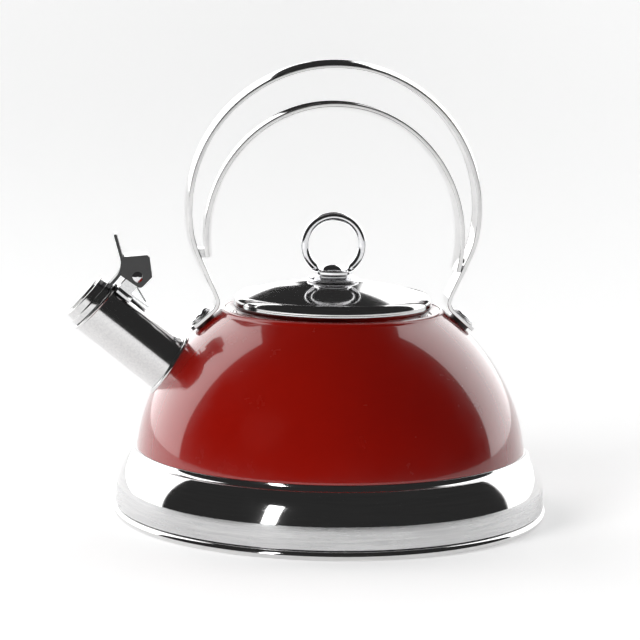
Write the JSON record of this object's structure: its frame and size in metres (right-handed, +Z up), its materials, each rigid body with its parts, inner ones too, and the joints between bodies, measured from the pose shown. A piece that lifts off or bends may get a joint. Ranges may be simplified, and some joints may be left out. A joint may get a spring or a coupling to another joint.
{
  "type": "stovetop whistling kettle",
  "caption": "Stovetop kettle with flared steel base, enamelled dome, lift-off lid with ring knob, tall fixed handle and a sprung whistle lever on the spout.",
  "frame": {"origin": "centre of the flat base, on the surface the kettle stands on", "axes": "+Z up the kettle's axis, spout towards -X, handle in the XZ plane"},
  "size_m": [0.2431, 0.22, 0.2284],
  "materials": {
    "steel": "polished and brushed stainless steel",
    "chrome": "mirror",
    "aluminium": "satin",
    "red_enamel": "glossy enamel",
    "black_plastic": "gloss",
    "seal_rubber": "matte"
  },
  "bodies": {
    "kettle": {"base_cap": "steel", "base_heat_spreader": "aluminium", "base_pan": "steel", "body_dome": "red_enamel", "spout_tube": "steel", "spout_flange": "steel", "spout_bracket": "steel", "hinge_pin": "steel", "hinge_spring": "steel", "handle_outer_band": "steel", "handle_inner_band": "steel", "handle_weld_blocks": "steel", "handle_screws": "chrome", "handle_washers": "steel", "handle_spacers": "steel", "handle_inner_seals": "seal_rubber", "handle_nuts": "steel"},
    "lid": {"lid_shell": "steel", "lid_collar": "steel", "knob_base": "chrome", "knob_cap": "chrome", "knob_ring": "chrome", "knob_screw": "steel", "knob_washer": "steel"},
    "whistle_lever_body": {"whistle_lever": "black_plastic", "whistle_cap": "steel", "whistle_seat_plate": "steel", "whistle_top_plate": "steel", "whistle_inner_plate": "steel", "lever_rivet": "steel"}
  },
  "joints": [
    {"name": "whistle_lever_hinge", "type": "hinge", "parent": "kettle", "child": "whistle_lever_body", "pos_m": [-0.09802, 0, 0.11995], "axis": [0, 1, 0], "range_deg": [0, 60], "stiffness_Nm_per_rad": 0.05, "springref_deg": -28.65, "deforming": ["hinge_spring"]},
    {"name": "lid_lift", "type": "slide", "parent": "kettle", "child": "lid", "axis": [0, 0, 1], "range_m": [0, 0.04]}
  ]
}
